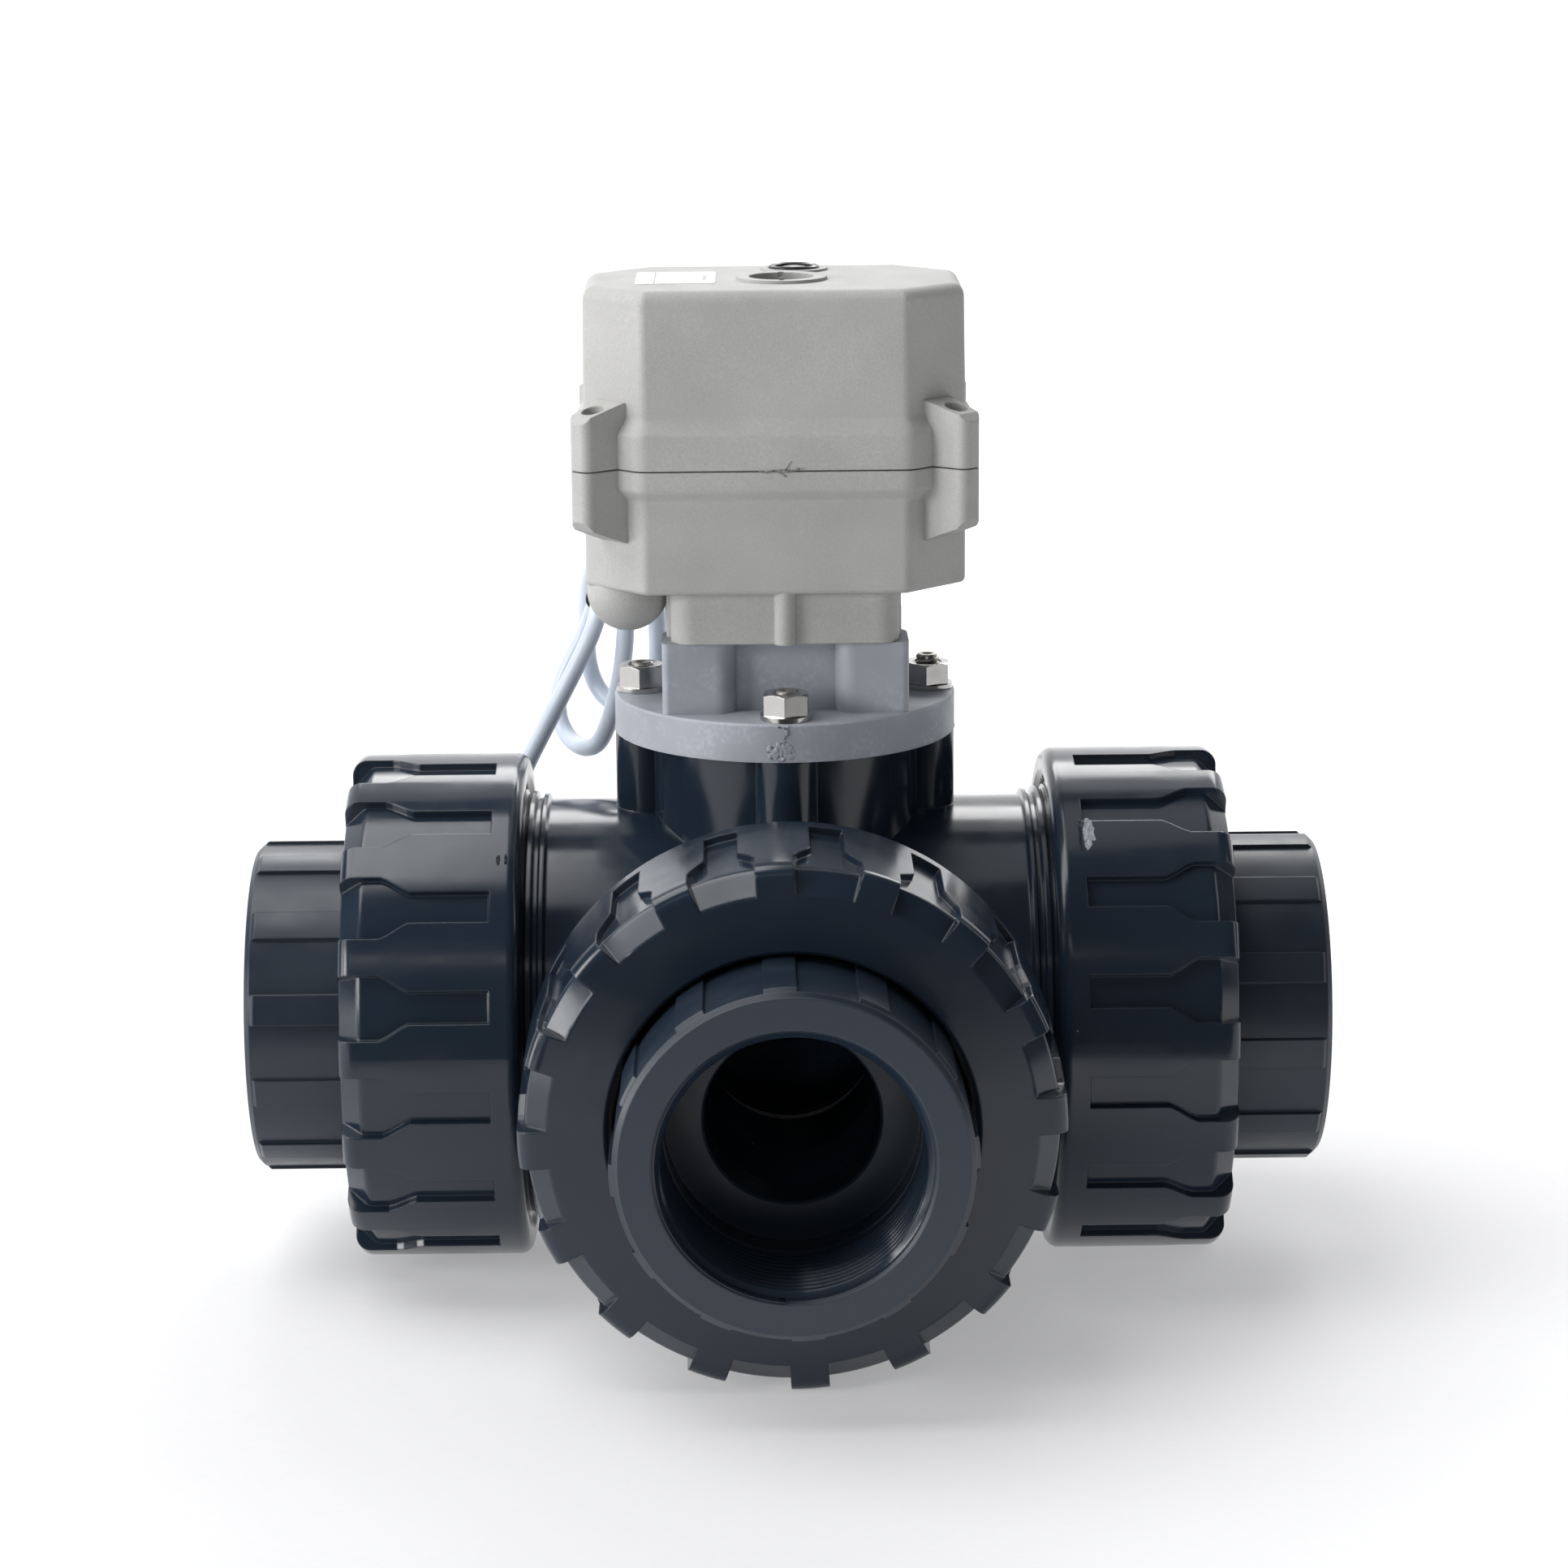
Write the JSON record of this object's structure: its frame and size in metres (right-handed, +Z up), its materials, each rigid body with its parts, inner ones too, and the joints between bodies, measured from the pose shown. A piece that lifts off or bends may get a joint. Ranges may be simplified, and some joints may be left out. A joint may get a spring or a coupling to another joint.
{
  "type": "diverter valve",
  "caption": "Three-way diverter ball valve with ribbed union nuts on threaded ends, a round bonnet flange with studs, and an electric quarter-turn actuator with a cable on top.",
  "frame": {"origin": "middle of the footprint of the valve without its cable, on the surface that its three union nuts stand on", "axes": "+X along the two in-line ports towards the right port, -Y along the common port, +Z up along the ball's stem"},
  "size_m": [0.253, 0.2301, 0.2359],
  "materials": {
    "pvc_body": "glossy dark slate-grey UPVC",
    "pvc_flange": "satin blue-grey moulded plastic",
    "housing_grey": "fine-textured grey ABS",
    "stainless": "bright stainless steel",
    "zinc_steel": "zinc-plated steel",
    "brass": "turned brass",
    "ptfe": "white PTFE",
    "seal_rubber": "black EPDM rubber",
    "gear_plastic": "natural acetal",
    "gear_steel": "hobbed steel",
    "black_plastic": "black nylon",
    "dial_plastic": "dark grey moulded dial",
    "plug_rubber": "black rubber, polished middle",
    "label_paper": "white film label",
    "board_green": "green glass-epoxy",
    "component_black": "moulded electronic parts",
    "cable_jacket": "pale blue-grey PVC sheath",
    "core_colours": "coloured core insulation"
  },
  "bodies": {
    "valve": {"actuator_lower_housing": "housing_grey", "actuator_upper_cover": "housing_grey", "ball_seats": "ptfe", "board_components": "component_black", "board_nuts": "zinc_steel", "bonnet_flange": "pvc_flange", "bonnet_nuts": "stainless", "bonnet_seal": "seal_rubber", "bonnet_studs": "stainless", "bonnet_washers": "stainless", "cable_coil": "cable_jacket", "cable_cores": "core_colours", "cable_inner_end": "cable_jacket", "carrier_seals": "seal_rubber", "circuit_board": "board_green", "coil_tie": "black_plastic", "cover_gasket": "seal_rubber", "cover_screws": "zinc_steel", "gear_motor": "zinc_steel", "gear_plate": "zinc_steel", "gland_body": "black_plastic", "gland_nut": "black_plastic", "gland_seal": "seal_rubber", "idler_axle": "gear_steel", "limit_switches": "component_black", "loop_tie": "black_plastic", "mounting_screws": "zinc_steel", "nameplate_label": "label_paper", "output_bush": "brass", "power_cable": "cable_jacket", "seat_carriers": "pvc_body", "spacers": "zinc_steel", "switch_bracket": "black_plastic", "thrust_washer": "ptfe", "union_seals": "seal_rubber", "valve_body": "pvc_body"},
    "ball_drive": {"diverter_ball": "pvc_body", "valve_stem": "pvc_body", "stem_seals": "seal_rubber", "drive_coupling": "zinc_steel", "output_shaft": "gear_steel", "output_gear": "gear_steel", "override_wheel": "gear_plastic", "position_cams": "gear_plastic"},
    "idler": {"idler_gear": "gear_steel"},
    "motor_rotor": {"motor_pinion": "brass"},
    "override": {"override_shaft": "gear_steel"},
    "indicator": {"position_indicator": "dial_plastic", "indicator_seal": "seal_rubber"},
    "plug": {"override_plug": "plug_rubber"},
    "left_connector": {"union_connector_left": "pvc_body"},
    "left_nut": {"union_nut_left": "pvc_body"},
    "right_connector": {"union_connector_right": "pvc_body"},
    "right_nut": {"union_nut_right": "pvc_body"},
    "front_connector": {"union_connector_front": "pvc_body"},
    "front_nut": {"union_nut_front": "pvc_body"}
  },
  "joints": [
    {"name": "ball_turn", "type": "hinge", "parent": "valve", "child": "ball_drive", "pos_m": [0, 0.03315, 0.0602], "axis": [0, 0, 1], "range_deg": [0, 90]},
    {"name": "idler_turn", "type": "hinge", "parent": "valve", "child": "idler", "pos_m": [-0.02598, 0.03406, 0.0602], "axis": [0, 0, 1], "range_deg": [-300, 0]},
    {"name": "motor_turn", "type": "hinge", "parent": "valve", "child": "motor_rotor", "pos_m": [-0.02321, 0.0183, 0.0602], "axis": [0, 0, 1], "range_deg": [0, 900]},
    {"name": "override_turn", "type": "hinge", "parent": "valve", "child": "override", "pos_m": [0.0031, 0.04557, 0.0602], "axis": [0, 0, 1], "range_deg": [-150, 0]},
    {"name": "indicator_turn", "type": "hinge", "parent": "valve", "child": "indicator", "pos_m": [0, 0.02565, 0.0602], "axis": [0, 0, 1], "range_deg": [-90, 0]},
    {"name": "plug_pull", "type": "slide", "parent": "valve", "child": "plug", "axis": [0, 0, 1], "range_m": [0, 0.012]},
    {"name": "left_connector_slide", "type": "slide", "parent": "valve", "child": "left_connector", "axis": [-1, 0, 0], "range_m": [0, 0.012]},
    {"name": "left_nut_turn", "type": "hinge", "parent": "left_connector", "child": "left_nut", "pos_m": [0, 0.03315, 0.0602], "axis": [-1, 0, 0], "range_deg": [0, 1080]},
    {"name": "right_connector_slide", "type": "slide", "parent": "valve", "child": "right_connector", "axis": [1, 0, 0], "range_m": [0, 0.012]},
    {"name": "right_nut_turn", "type": "hinge", "parent": "right_connector", "child": "right_nut", "pos_m": [0, 0.03315, 0.0602], "axis": [1, 0, 0], "range_deg": [0, 1080]},
    {"name": "front_connector_slide", "type": "slide", "parent": "valve", "child": "front_connector", "axis": [0, -1, 0], "range_m": [0, 0.012]},
    {"name": "front_nut_turn", "type": "hinge", "parent": "front_connector", "child": "front_nut", "pos_m": [0, 0.03315, 0.0602], "axis": [0, -1, 0], "range_deg": [0, 1080]}
  ],
  "couplings": [
    {"joint": "idler_turn", "follows": "ball_turn", "ratio": -3.3333},
    {"joint": "motor_turn", "follows": "ball_turn", "ratio": 10},
    {"joint": "override_turn", "follows": "ball_turn", "ratio": -1.6667},
    {"joint": "indicator_turn", "follows": "ball_turn", "ratio": -1},
    {"joint": "left_connector_slide", "follows": "left_nut_turn", "m_per_rad": 0.00063662},
    {"joint": "right_connector_slide", "follows": "right_nut_turn", "m_per_rad": 0.00063662},
    {"joint": "front_connector_slide", "follows": "front_nut_turn", "m_per_rad": 0.00063662}
  ]
}
